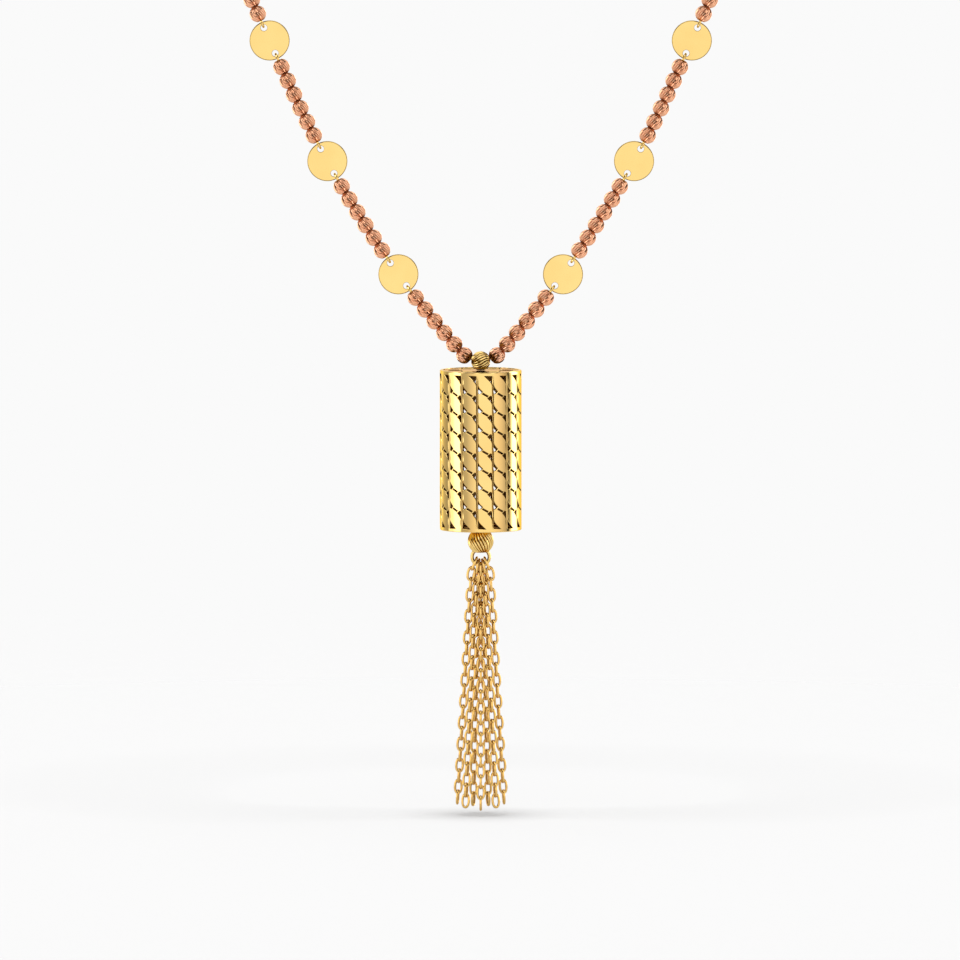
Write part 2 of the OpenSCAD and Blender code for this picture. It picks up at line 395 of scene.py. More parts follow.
def offset(outline, width):
    """A closed outline moved outwards by a width, with clipped corners"""
    p = np.asarray(outline, float)
    area = np.sum(p[:, 0] * np.roll(p[:, 1], -1) - np.roll(p[:, 0], -1) * p[:, 1])
    edge = np.roll(p, -1, 0) - p
    out = np.stack([edge[:, 1], -edge[:, 0]], 1) * np.sign(area)
    out /= np.linalg.norm(out, axis=1)[:, None]
    both = out + np.roll(out, 1, 0)
    both /= np.linalg.norm(both, axis=1)[:, None]
    miter = 1 / np.maximum(np.sum(both * out, axis=1), LEAST_MITER)
    return p + width * miter[:, None] * both


def distance_to(lines, p):
    """Distance from each point to the nearest of the lines"""
    best = np.full(len(p), np.inf)
    for line in lines:
        for a, b in zip(line[:-1], line[1:]):
            along = b - a
            t = np.clip((p - a) @ along / max(along @ along, LEAST_DIVISOR), 0, 1)
            best = np.minimum(best, np.linalg.norm(p - a - t[:, None] * along, axis=1))
    return best


def inside(outline, p):
    """Which points lie inside a closed outline"""
    within = np.zeros(len(p), bool)
    for (ax, ay), (bx, by) in zip(outline, np.roll(outline, -1, 0)):
        crosses = (ay > p[:, 1]) != (by > p[:, 1])
        if ay != by:
            within ^= crosses & (p[:, 0] < (bx - ax) * (p[:, 1] - ay) / (by - ay) + ax)
    return within


def closed(outline):
    """An outline with its first point again at its end"""
    return np.vstack([outline, outline[:1]])


def pierced_plan(border, holes, bevel, lines=(), spots=np.zeros((0, 2))):
    """Flat net of triangles inside a border, without the holes, with a line round each hole for its
    bevel. Gives its points, its triangles and its free edges"""
    points, edges = [], []

    def add(line):
        first = len(points)
        points.extend(Vector((float(x), float(y))) for x, y in line)
        edges.extend((first + i, first + i + 1) for i in range(len(line) - 1))

    add(closed(border))
    for hole in holes:
        add(closed(hole))
        add(closed(offset(hole, bevel)))
    for line in lines:
        add(line)
    keep = distance_to([closed(hole) for hole in holes] + list(lines), spots) > 2 * bevel
    for hole in holes:
        keep &= ~inside(hole, spots)
    points.extend(Vector((float(x), float(y))) for x, y in spots[keep])
    made = delaunay_2d_cdt(points, edges, [], 0, SAME_POINT)
    p = np.array([(v.x, v.y) for v in made[0]])
    tris = np.array([f for f in made[2] if len(f) == 3])
    middle = p[tris].mean(1)
    solid = inside(border, middle)
    for hole in holes:
        solid &= ~inside(hole, middle)
    return trimmed(p, tris[solid])


def trimmed(p, tris):
    """A flat net without its unused points, with its triangles all turned the same way, and its free
    edges"""
    first = p[tris[:, 1]] - p[tris[:, 0]]
    second = p[tris[:, 2]] - p[tris[:, 0]]
    turned = first[:, 0] * second[:, 1] < first[:, 1] * second[:, 0]
    tris[turned] = tris[turned][:, ::-1]
    sides = np.vstack([tris[:, [0, 1]], tris[:, [1, 2]], tris[:, [2, 0]]])
    known = {tuple(side) for side in sides.tolist()}
    free = np.array([side for side in sides.tolist() if (side[1], side[0]) not in known])
    used = np.unique(tris)
    index = np.full(len(p), -1)
    index[used] = np.arange(len(used))
    return p[used], index[tris], index[free]


def sheet_form(front, back, tris, free):
    """Closed sheet from its front and back points"""
    count = len(front)
    wall = np.stack([free[:, 1], free[:, 0], free[:, 0] + count, free[:, 1] + count], 1)
    return form(np.vstack([front, back]), np.vstack([tris, tris[:, ::-1] + count]), wall)


def beveled_height(p, holes, bevel, top=0.0):
    """Height of the front face, which slopes down to each hole's edge"""
    near = distance_to([closed(hole) for hole in holes], p)
    return top - bevel * np.clip(1 - near / bevel, 0, 1)


def scaled_outline(parts, middle, scale, flip):
    """Outline of an opening in millimetres, from its parts in column widths and row heights"""
    line = np.vstack([part[:-1] for part in parts])
    return np.asarray(middle) + flip * line * scale


def wire_height(across, width):
    """Height of the wall beside and on the round wires that part the columns"""
    wire = WIRE_LINE * width
    up = np.clip((across - wire) / (width / 2 - wire), 0, 1)
    crest = (WIRE_GROOVE - WIRE_CREST) * np.sqrt(up * (2 - up)) - WIRE_GROOVE
    slope = np.interp(wire - across, [0, STEEP_SHARE * BEVEL, BEVEL], [-WIRE_GROOVE, -BEVEL, 0])
    return np.where(across > wire, crest, slope)


def column_holes(scale, top):
    """Outlines of one column's openings, in millimetres"""
    gusset = [smooth_path(GUSSET_WIRE_SIDE, WIRE_SIDE_STEPS),
              smooth_path(GUSSET_TILE_SIDE, TILE_SIDE_STEPS)]
    end_gusset = [np.array(END_WIRE_SIDE), smooth_path(END_TILE_SIDE, TILE_SIDE_STEPS)]
    slot = [np.array(SLOT + SLOT[:1])]
    holes = [scaled_outline(end_gusset, (0, end), scale, flip) for end, flip in ((0, 1), (top, -1))]
    for k in range(1, ROWS):
        middle = (0, k * scale[1])
        holes.append(scaled_outline(slot, middle, scale, 1))
        holes += [scaled_outline(gusset, middle, scale, flip) for flip in (1, -1)]
    return holes


def column_border(half, top):
    """Outline of one column with its share of the two rims"""
    levels = np.linspace(-RIM, top + RIM, SIDE_STEPS * ROWS + 1)
    side = np.stack([np.full(len(levels), half), levels], 1)
    foot_line = np.linspace(-half, half, ACROSS_STEPS + 1)[:-1]
    top_line = np.linspace(half, -half, ACROSS_STEPS + 1)[:-1]
    return np.vstack([
        np.stack([foot_line, np.full(ACROSS_STEPS, -RIM)], 1),
        side[:-1],
        np.stack([top_line, np.full(ACROSS_STEPS, top + RIM)], 1),
        (side * (-1, 1))[::-1][:-1],
    ])


def column_lines(half, wire, top):
    """Lines of one column on which its height bends: beside and on its wires, and at its rims"""
    lines = []
    wire_lines = np.linspace(wire, half, WIRE_STEPS + 1)[:-1]
    for u in [wire - BEVEL, wire - STEEP_SHARE * BEVEL, *wire_lines]:
        lines += [np.array([[across, -RIM], [across, top + RIM]]) for across in (-u, u)]
    for v in (-RIM + RIM_BEVEL, 0.0, top, top + RIM - RIM_BEVEL):
        lines.append(np.array([[-half, v], [half, v]]))
    return lines


def barrel_column(radius, height, share):
    """One column of the barrel's wall, or a plain seam that is a share of a column wide, as (points
    round its middle, height over the radius, triangles, free edges without its two sides)"""
    width = COLUMN_TURN * radius
    row = (height - 2 * RIM) / ROWS
    top = ROWS * row
    half = share * width / 2
    wire = half - (0.5 - WIRE_LINE) * width
    holes = column_holes(np.array([width, row]), top) if share == 1 else []
    u, v = np.meshgrid(np.linspace(-half, half, ACROSS_STEPS + 1)[1:-1],
                       np.arange(-RIM, top + RIM, row / NET_STEPS))
    p, tris, free = pierced_plan(column_border(half, top), holes, BEVEL,
                                 column_lines(half, wire, top), np.stack([u.ravel(), v.ravel()], 1))

    in_rows = (p[:, 1] > ROW_END) & (p[:, 1] < top - ROW_END)
    across = np.abs(p[:, 0]) + width / 2 - half
    rise = np.where(in_rows, wire_height(across, width), 0)
    if holes:
        rise = np.minimum(rise, beveled_height(p, holes, BEVEL))
    rim_edge = np.minimum(p[:, 1] + RIM, top + RIM - p[:, 1])
    rise = np.minimum(rise, -RIM_BEVEL * np.clip(1 - rim_edge / RIM_BEVEL, 0, 1))
    on_side = np.all(np.abs(np.abs(p[free][:, :, 0]) - half) < SAME_LINE, axis=1)
    return p, rise, tris, free[~on_side]


def barrel_wall(radius, height):
    """Whole wall of the barrel, with its foot at z 0"""
    column = barrel_column(radius, height, 1)
    seam = barrel_column(radius, height, SEAM_SHARE)
    back_edge = FRONT_EDGE + (FRONT_COLUMNS + SEAM_SHARE) * COLUMN_TURN
    strips = [(column, FRONT_EDGE + (i + 0.5) * COLUMN_TURN) for i in range(FRONT_COLUMNS)]
    strips += [(column, back_edge + (i + 0.5) * COLUMN_TURN) for i in range(BACK_COLUMNS)]
    strips += [(seam, edge - SEAM_SHARE / 2 * COLUMN_TURN) for edge in (FRONT_EDGE, back_edge)]
    forms = []
    for (p, rise, tris, free), middle in strips:
        around = middle + p[:, 0] / radius
        out = np.stack([np.sin(around), -np.cos(around)], 1)
        z = (p[:, 1] + RIM)[:, None]
        front = np.hstack([out * (radius + rise)[:, None], z])
        back = np.hstack([out * (radius - WALL), z])
        forms.append(sheet_form(front, back, tris, free))
    return joined(forms)


def circle(radius, count, middle=(0, 0)):
    """Points round a circle"""
    turn = np.linspace(0, 2 * np.pi, count, endpoint=False)
    return np.stack([middle[0] + radius * np.cos(turn), middle[1] + radius * np.sin(turn)], 1)


def barrel_cap(radius):
    """Pierced cap, with its outer face up at z 0 and a spoke towards the front"""
    holes = []
    for i in range(CAP_HOLES):
        around = 2 * math.pi * (i + 0.5) / CAP_HOLES
        middle = (CAP_HOLE_OFFSET * math.sin(around), -CAP_HOLE_OFFSET * math.cos(around))
        holes.append(circle(CAP_HOLE_R, HOLE_POINTS, middle))
    p, tris, free = pierced_plan(circle(radius, CAP_POINTS), holes, BEVEL)
    rise = beveled_height(p, holes, BEVEL)
    front = np.hstack([p, rise[:, None]])
    back = np.hstack([p, np.full((len(p), 1), -CAP)])
    return sheet_form(front, back, tris, free)


def disc_form(radius, thickness):
    """Flat disc in the XZ plane with a bevelled edge, and a hole near each end of its Z axis"""
    holes = [circle(DISC_HOLE_R, HOLE_POINTS, (0, way * DISC_HOLE_OFFSET)) for way in (1, -1)]
    ring = closed(circle(radius - DISC_EDGE, DISC_POINTS))
    p, tris, free = pierced_plan(circle(radius, DISC_POINTS), holes, DISC_HOLE_EDGE, [ring])
    drop = np.clip(np.linalg.norm(p, axis=1) - radius + DISC_EDGE, 0, DISC_EDGE)
    half = np.minimum(thickness / 2 - drop, beveled_height(p, holes, DISC_HOLE_EDGE, thickness / 2))
    front = np.stack([p[:, 0], -half, p[:, 1]], 1)
    return sheet_form(front, front * (1, -1, 1), tris, free)


# Making objects

def weld(mesh):
    """Joins points of a mesh that lie together"""
    work = bmesh.new()
    work.from_mesh(mesh)
    bmesh.ops.remove_doubles(work, verts=work.verts, dist=SAME_RADIUS * MM)
    work.to_mesh(mesh)
    work.free()


def make_piece(name, shape, material, body, nodes, smooth_angle=None, welded=False):
    """Piece of the object from a form in the frame, riding on a body in place of CAD nodes"""
    points, tris, quads = shape
    mesh = bpy.data.meshes.new(name)
    mesh.from_pydata((points * MM).tolist(), [], tris.tolist() + quads.tolist())
    if welded:
        weld(mesh)
    if smooth_angle is None:
        mesh.shade_flat()
    else:
        mesh.shade_smooth()
        mesh.set_sharp_from_angle(angle=math.radians(smooth_angle))
    mesh.materials.append(material)
    piece = bpy.data.objects.new(name, mesh)
    bpy.context.scene.collection.objects.link(piece)
    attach(piece, body)
    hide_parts(*nodes)
    return piece


def round_normals(piece, middle, radius):
    """Gives the faces that lie on the barrel's own radius the normals of a true cylinder"""
    mesh = piece.data
    co = np.zeros(len(mesh.vertices) * 3)
    mesh.vertices.foreach_get("co", co)
    co = co.reshape(-1, 3) / MM - middle
    out = co * (1, 1, 0)
    reach = np.linalg.norm(out, axis=1)
    on_cylinder = np.abs(reach - radius) < SAME_RADIUS
    out /= np.maximum(reach, LEAST_DIVISOR)[:, None]
    corner = np.zeros(len(mesh.loops), np.int32)
    mesh.loops.foreach_get("vertex_index", corner)
    normals = np.zeros(len(mesh.loops) * 3)
    mesh.corner_normals.foreach_get("vector", normals)
    normals = normals.reshape(-1, 3)
    for face in mesh.polygons:
        loops = list(face.loop_indices)
        if on_cylinder[corner[loops]].all():
            normals[loops] = out[corner[loops]]
    mesh.normals_split_custom_set(normals.tolist())


def more_material(piece, material, chosen):
    """Gives one more material to the faces that a test on (middle in mm, normal) chooses"""
    piece.data.materials.append(material)
    for face in piece.data.polygons:
        if chosen(np.array(face.center) / MM, np.array(face.normal)):
            face.material_index = len(piece.data.materials) - 1


def faces_inwards(point, axis, share):
    """Test of whether a face looks towards an axis, by the cosine of the angle between them"""
    def chosen(middle, normal):
        off = middle - point
        off = off - (off @ axis) * axis
        return off @ normal < -share * np.linalg.norm(off)
    return chosen


# Places, read from the frame

def node_points(name):
    """Points of a CAD node, in millimetres"""
    mesh = frame["nodes"][name].data
    co = np.zeros(len(mesh.vertices) * 3)
    mesh.vertices.foreach_get("co", co)
    return co.reshape(-1, 3) / MM


def node_box(name):
    """Lowest and highest corner of a CAD node, in millimetres"""
    low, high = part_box(name)
    return np.array(low) / MM, np.array(high) / MM


def node_middle(name):
    """Middle of a CAD node's box, in millimetres"""
    low, high = node_box(name)
    return (low + high) / 2


def sphere_middle(points):
    """Middle of the ball that most of the points lie on"""
    for _ in range(FIT_ROUNDS):
        fit = np.hstack([2 * points, np.ones((len(points), 1))])
        middle = np.linalg.lstsq(fit, np.sum(points ** 2, axis=1), rcond=None)[0][:3]
        off = np.abs(np.linalg.norm(points - middle, axis=1) - BEAD_R)
        points = points[off <= np.quantile(off, FIT_KEPT)]
    return middle


def bead_middles(node, disc, side):
    """Middles of a run's beads, from the one nearest to the given disc"""
    points = node_points(node)
    points = points[points[:, 0] * side > BEAD_R / 2]
    start = node_middle(disc)
    far = np.linalg.norm(points - start, axis=1)
    middles = []
    for i in range(BEADS_PER_RUN):
        shell = np.abs(far - DISC_TO_BEAD - i * BEAD_PITCH) < BEAD_PITCH * FIT_SHELL
        middles.append(sphere_middle(points[shell]))
    return np.array(middles)


def along_axes(ahead):
    """Axes of a bead or loop on the strand: Z along it, and Y level, into the neck"""
    z = unit(ahead)
    y = unit(np.cross([0, 0, 1], z))
    return np.array([np.cross(y, z), y, z])


# Materials

# Noise of the gold, as (scale, detail): the drift of its tone, its fine marks and its faint waves
TONE_NOISE = (180.0, 3.0)
MARK_NOISE = (2600.0, 4.0)
WAVE_NOISE = (700.0, 2.0)
TONE_SPAN = (0.3, 0.7)
WAVE_HEIGHT = 0.00002


def node_in(tree, kind, x=0, y=0, **values):
    """New shader node at a place in the tree, with its settings"""
    made = tree.nodes.new(kind)
    made.location = (x, y)
    for key, value in values.items():
        setattr(made, key, value)
    return made


def noise(tree, place, scale_detail, y):
    """Noise over a piece's own space"""
    made = node_in(tree, "ShaderNodeTexNoise", -600, y)
    made.inputs["Scale"].default_value, made.inputs["Detail"].default_value = scale_detail
    tree.links.new(place.outputs["Object"], made.inputs["Vector"])
    return made.outputs["Fac"]


def gold_material(name, bright, deep, edge, rough_low, rough_high, bump):
    """Gold alloy with a faint drift of tone and fine polishing marks, from its two tones, its tone at a
    flat angle, the range of its roughness and the strength of its waves"""
    material = bpy.data.materials.new(name)
    material.use_nodes = True
    tree = material.node_tree
    tree.nodes.clear()
    link = tree.links.new
    place = node_in(tree, "ShaderNodeTexCoord", -900)
    metal = node_in(tree, "ShaderNodeBsdfPrincipled", 600)
    metal.inputs["Metallic"].default_value = 1.0
    metal.inputs["Specular Tint"].default_value = (*edge, 1)

    tones = node_in(tree, "ShaderNodeValToRGB", -300, 300)
    for stop, position, tone in zip(tones.color_ramp.elements, TONE_SPAN, (deep, bright)):
        stop.position = position
        stop.color = (*tone, 1)
    link(noise(tree, place, TONE_NOISE, 300), tones.inputs["Fac"])
    link(tones.outputs["Color"], metal.inputs["Base Color"])

    rough = node_in(tree, "ShaderNodeMapRange", -300, 0)
    rough.inputs["To Min"].default_value = rough_low
    rough.inputs["To Max"].default_value = rough_high
    link(noise(tree, place, MARK_NOISE, 0), rough.inputs["Value"])
    link(rough.outputs["Result"], metal.inputs["Roughness"])

    relief = node_in(tree, "ShaderNodeBump", 0, -300)
    relief.inputs["Strength"].default_value = bump
    relief.inputs["Distance"].default_value = WAVE_HEIGHT
    link(noise(tree, place, WAVE_NOISE, -300), relief.inputs["Height"])
    link(relief.outputs["Normal"], metal.inputs["Normal"])

    out = node_in(tree, "ShaderNodeOutputMaterial", 900)
    link(metal.outputs["BSDF"], out.inputs["Surface"])
    return material


yellow_gold = gold_material(
    "yellow_gold_polished", bright=(1.0, 0.72, 0.27), deep=(0.96, 0.66, 0.23),
    edge=(1.0, 0.77, 0.26), rough_low=0.04, rough_high=0.09, bump=0.05)
chain_gold = gold_material(
    "yellow_gold_chain", bright=(0.98, 0.64, 0.22), deep=(0.93, 0.58, 0.18),
    edge=(1.0, 0.68, 0.28), rough_low=0.05, rough_high=0.12, bump=0.08)
# Dark, rougher gold for the barrel's inside, the bottoms of the bead grooves and the insides of the
# ring and links: its dark colour is painted shade
shaded_gold = gold_material(
    "yellow_gold_painted_shade", bright=(0.5, 0.27, 0.08), deep=(0.4, 0.21, 0.06),
    edge=(0.6, 0.35, 0.15), rough_low=0.3, rough_high=0.45, bump=0.2)
cap_gold = gold_material(
    "yellow_gold_cap", bright=(1.0, 0.68, 0.15), deep=(0.95, 0.62, 0.12),
    edge=(0.85, 0.5, 0.0), rough_low=0.08, rough_high=0.15, bump=0.05)
# Dark, rougher gold for the discs' bevelled rims and hole edges: its dark colour is painted shade that
# outlines each disc
rim_shade_gold = gold_material(
    "yellow_gold_painted_rim_shade", bright=(0.5, 0.34, 0.09), deep=(0.4, 0.27, 0.07),
    edge=(0.6, 0.42, 0.15), rough_low=0.3, rough_high=0.45, bump=0.2)
rose_gold = gold_material(
    "rose_gold_cut", bright=(0.97, 0.51, 0.31), deep=(0.9, 0.45, 0.26),
    edge=(1.0, 0.66, 0.45), rough_low=0.06, rough_high=0.12, bump=0.05)


# The strung loop

BEADS = (cut_bead(-CUT_TWIST), cut_bead(CUT_TWIST))
LOOP = oval_link(LOOP_MIDDLE_R, LOOP_MIDDLE_R, LOOP_WIRE_R, LOOP_STEPS, LOOP_SIDES)
disc_low, disc_high = node_box("disc_r1")
DISC = disc_form((disc_high - disc_low)[2] / 2, DISC_T)


def run_forms(middles, disc_ends):
    """Beads with their wire, and the wire loops at the discs, of one run"""
    ends = [middles[0] + (middles[0] - middles[1]) / 2, middles[-1] + (middles[-1] - middles[-2]) / 2]
    path = np.vstack([ends[0], middles, ends[1]])
    bead = BEADS[int(path[0][0] > 0)]
    beads = [placed(bead, middles[i], along_axes(path[i + 2] - path[i])) for i in range(len(middles))]
    axes = along_axes(path[-1] - path[0])
    beads.append(tube(path, axes[1], WIRE_R, WIRE_SIDES, looped=False))
    loops = []
    for disc, near in disc_ends:
        ahead = unit(near - disc)
        x, y, z = along_axes(ahead)
        loops.append(placed(LOOP, disc + LOOP_OFFSET * ahead, np.array([y, -x, z])))
    return joined(beads), joined(loops)


def make_disc(node, before, after):
    """Disc between the bead before it and the bead after it"""
    axes = along_axes(after - before)
    piece = make_piece("flat_" + node, placed(DISC, node_middle(node), axes), yellow_gold,
                       "necklace", [node], smooth_angle=30)
    # The rims and hole edges are painted darker, as a thin line of painted shade round each disc
    more_material(piece, rim_shade_gold, lambda middle, normal: abs(normal @ axes[1]) < FACING)


def make_run(suffix, node, middles, disc_ends):
    """Beads and wire loops of one run, in place of its CAD node"""
    beads, loops = run_forms(middles, disc_ends)
    make_piece("cut_beads_" + suffix, beads, rose_gold, "necklace", [node])
    make_piece("wire_loops_" + suffix, loops, yellow_gold, "necklace", [node],
               smooth_angle=40)


def make_side(letter, side):
    """Runs and discs of one side, from the pendant to the clasp"""
    disc_count = sum(name.startswith("disc_" + letter) for name in frame["nodes"])
    discs = [f"disc_{letter}{k}" for k in range(1, disc_count + 1)]
    middles = bead_middles("beads_front", discs[0], side)
    make_run("front_" + letter, "beads_front", middles, [(node_middle(discs[0]), middles[0])])
    before = middles[0]
    for k, disc in enumerate(discs, 1):
        node = f"beads_{letter}{k}"
        middles = bead_middles(node, disc, side)
        make_disc(disc, before, middles[0])
        before = middles[-1]
        if k < disc_count:
            end = node_middle(discs[k])
        else:
            end = middles[-1] + unit(middles[-1] - middles[-2]) * DISC_TO_BEAD
        make_run(f"{letter}{k}", node, middles, [(node_middle(disc), middles[0]), (end, middles[-1])])


def make_clasp():
    """Better material for the clasp, which keeps its CAD shape"""
    for slot in frame["nodes"]["clasp"].material_slots:
        slot.material = yellow_gold


for letter, side in SIDES.items():
    make_side(letter, side)
make_clasp()


# The pendant

barrel_low, barrel_high = node_box("barrel")
barrel_middle = (barrel_low + barrel_high) / 2
barrel_foot = barrel_middle * (1, 1, 0) + (0, 0, barrel_low[2])
barrel_radius = (barrel_high[0] - barrel_low[0]) / 2
barrel_height = barrel_high[2] - barrel_low[2]
pivot = np.array(frame["joints"][0]["pos_m"]) / MM


def in_barrel(middle, normal):
    """Whether a face lies inside the barrel or in the wall of one of its openings"""
    x, y, z = middle - barrel_middle
    return math.hypot(x, y) < barrel_radius - SHADE_DEPTH and abs(z) < barrel_height / 2 - SHADE_DEPTH


def on_cap(middle, normal):
    """Whether a face is on the flat outside of a cap"""
    x, y, z = middle - barrel_middle
    sunk = barrel_height / 2 - abs(z)
    return math.hypot(x, y) < barrel_radius - WALL and sunk < 2 * CAP_SINK and abs(normal[2]) > FACING


def make_barrel():
    """Openwork barrel with its caps"""
    wall = placed(barrel_wall(barrel_radius, barrel_height), barrel_foot)
    cap = barrel_cap(barrel_radius - WALL)
    top_cap = placed(cap, barrel_foot + (0, 0, barrel_height - CAP_SINK))
    foot_cap = placed(cap, barrel_foot + (0, 0, CAP_SINK), np.diag([1, -1, -1]))
    piece = make_piece("openwork_barrel", joined([wall, top_cap, foot_cap]), yellow_gold,
                       "pendant", ["barrel"], smooth_angle=30, welded=True)
    round_normals(piece, barrel_middle, barrel_radius)
    # The barrel's inside and its openings' walls get painted shade
    more_material(piece, shaded_gold, in_barrel)
    more_material(piece, cap_gold, on_cap)


def make_grooved_bead(name, shape, middle, radius, node):
    """Spiral-grooved bead whose grooves are rougher and painted darker, as painted shade"""
    piece = make_piece(name, shape, yellow_gold, "pendant", [node], smooth_angle=20)
    deep = radius - SHADED_DEPTH
    more_material(piece, shaded_gold, lambda place, normal: np.linalg.norm(place - middle) < deep)


def make_top_bead():
    """Grooved bead over the barrel, along the stringing wire and with a flat seat on the cap"""
    low, high = node_box("top_bead")
    half_w, radius, _ = (high - low) / 2
    bead = spiral_bead(radius, -half_w, half_w, *TOP_GROOVES)
    points, tris, quads = placed(bead, pivot, np.array([[0, 1, 0], [0, 0, 1], [1, 0, 0]]))
    points[:, 2] = np.maximum(points[:, 2], low[2])
    make_grooved_bead("grooved_top_bead", (points, tris, quads), pivot, radius, "top_bead")


def make_lower_bead():
    """Grooved bead under the barrel"""
    low, high = node_box("lower_bead")
    middle = np.array([pivot[0], pivot[1], high[2] - LOWER_BEAD_DROP])
    radius = (high - low)[0] / 2
    bead = spiral_bead(radius, -LOWER_BEAD_FOOT, LOWER_BEAD_DROP, *LOWER_GROOVES)
    make_grooved_bead("grooved_lower_bead", placed(bead, middle), middle, radius, "lower_bead")


def make_ring(middle):
    """Ring that carries the tassel, with its inside rougher and painted darker, as painted shade"""
    ring = oval_link(RING_MIDDLE_R, RING_MIDDLE_R, RING_WIRE_R, RING_STEPS, RING_SIDES)
    piece = make_piece("tassel_ring", placed(ring, middle), yellow_gold, "pendant",
                       ["lower_bead"], smooth_angle=60)
    more_material(piece, shaded_gold, faces_inwards(middle, np.array([0, 1, 0]), RING_INSIDE))


def downwards(side, degrees):
    """Direction that leans outwards by some degrees from straight down"""
    return np.array([side * math.sin(math.radians(degrees)), 0, -math.cos(math.radians(degrees))])


def strand_middles(side, start, end, way):
    """Middles of the links of one strand, from the ring's middle"""
    first = np.array(start) * (side, 1, -1)
    second = first + downwards(side, way) * 2 * (LINK_HALF_L - LINK_WIRE_R)
    last = np.array(end) * (side, 1, -1)
    share = np.linspace(0, 1, LINKS - 1)[:, None]
    return np.vstack([first, second + (last - second) * share])


def strand_form(ring_middle, middles, side, lean, twist):
    """One hanging strand of cable chain, whose links lie a quarter turn apart"""
    forms = []
    for i, middle in enumerate(middles):
        before, after = middles[max(i - 1, 0)], middles[min(i + 1, LINKS - 1)]
        axis = unit(before - after) if i else -downwards(side, lean)
        turn = math.radians(90 * ((i + 1) % 2) + side * twist * min(i / TWIST_LINKS, 1))
        across = np.array([math.cos(turn), math.sin(turn), 0])
        y = unit(np.cross(axis, across))
        x = np.cross(y, axis)
        forms.append(placed(LINK, ring_middle + middle, np.array([x, y, axis])))
    return joined(forms)


def make_strand(name, ring_middle, side, start, end, lean, way, twist):
    """One strand of chain, whose links are rougher and painted darker inside, as painted shade between
    them
    """
    middles = strand_middles(side, start, end, way)
    strand = strand_form(ring_middle, middles, side, lean, twist)
    piece = make_piece(name, strand, chain_gold, "pendant", ["tassel"], smooth_angle=60)
    spine = unit(middles[-1] - middles[1])
    more_material(piece, shaded_gold, faces_inwards(ring_middle + middles[-1], spine, LINK_INSIDE))


def make_tassel(ring_middle):
    """Seven strands on the ring: the first row hangs in the middle, and each other row on both sides"""
    make_strand("chain_middle", ring_middle, 1, *STRANDS[0])
    for i, row in enumerate(STRANDS[1:], 1):
        for letter, side in SIDES.items():
            make_strand(f"chain_{letter}{i}", ring_middle, side, *row)


LINK = oval_link(LINK_HALF_W, LINK_HALF_L, LINK_WIRE_R, LINK_STEPS, LINK_SIDES, LINK_SQUARENESS)
ring_foot = node_box("lower_bead")[0][2]
ring_middle = np.array([pivot[0], pivot[1], ring_foot + RING_MIDDLE_R + RING_WIRE_R])
make_barrel()
make_top_bead()
make_lower_bead()
make_ring(ring_middle)
make_tassel(ring_middle)


# Floor, light and camera

# Gap under the tassel's tips in millimetres, and the floor's radius and the start of its fade in metres
FLOOR_GAP = 1.0
FLOOR_R = 0.36
FLOOR_FADE = 0.1
FLOOR_POINTS = 96
# Tone and glow of the floor's paper, and tone of the backdrop
FLOOR_TONE = 0.3
FLOOR_GLOW = 0.345
PAPER = 0.956

# Brightness and warmth round the room at eye level, by degrees to the right of the camera's side
ROOM = [
    (-180, 0.95, 0), (-146, 1.1, 0), (-136, 1.15, 0), (-130, 0.66, 0.3), (-112, 0.42, 0.3),
    (-104, 0.42, 0.3), (-101, 1.4, 0), (-86, 1.4, 0), (-78, 2.3, 0), (-62, 2.5, 0),
    (-56, 0.5, 0.3), (-40, 0.56, 0.4), (-30, 0.78, 0.6), (-17, 0.97, 0.5), (-9, 1.06, 0),
    (34, 1.06, 0), (42, 1.02, 0.5), (52, 0.98, 0.8), (62, 0.85, 0.9), (72, 0.62, 0.8),
    (79, 0.45, 0.5), (80, 0.1, 0), (88, 0.1, 0), (91, 0.8, 0), (96, 1.0, 0),
    (101, 3.4, 0), (124, 3.8, 0), (128, 1.5, 0), (145, 1.1, 0.2), (180, 0.95, 0)]
# Colour of the light at full warmth
WARM = (1.0, 0.9, 0.9)
# Brightness from straight down to straight up, by the sine of the height
HEIGHTS = [
    (-1.0, 0.75), (-0.35, 0.8), (-0.3, 0.8), (0.45, 0.8), (0.48, 0.08), (0.72, 0.08), (0.76, 1.6),
    (1.0, 1.2)]
# Sines of the heights between which the room is seen
ROOM_FOOT = -0.5
ROOM_TOP = 0.45
WORLD_MAX = 4.0
# Share of the light left beyond each ray depth: a second reflection keeps a part, and later ones
# hardly any
INNER_LIGHT = ((2.5, 0.25), (3.5, 0.02))

# Lamp overhead: its strength and its angle in degrees
LAMP_STRENGTH = 3.6
LAMP_ANGLE = 13.3


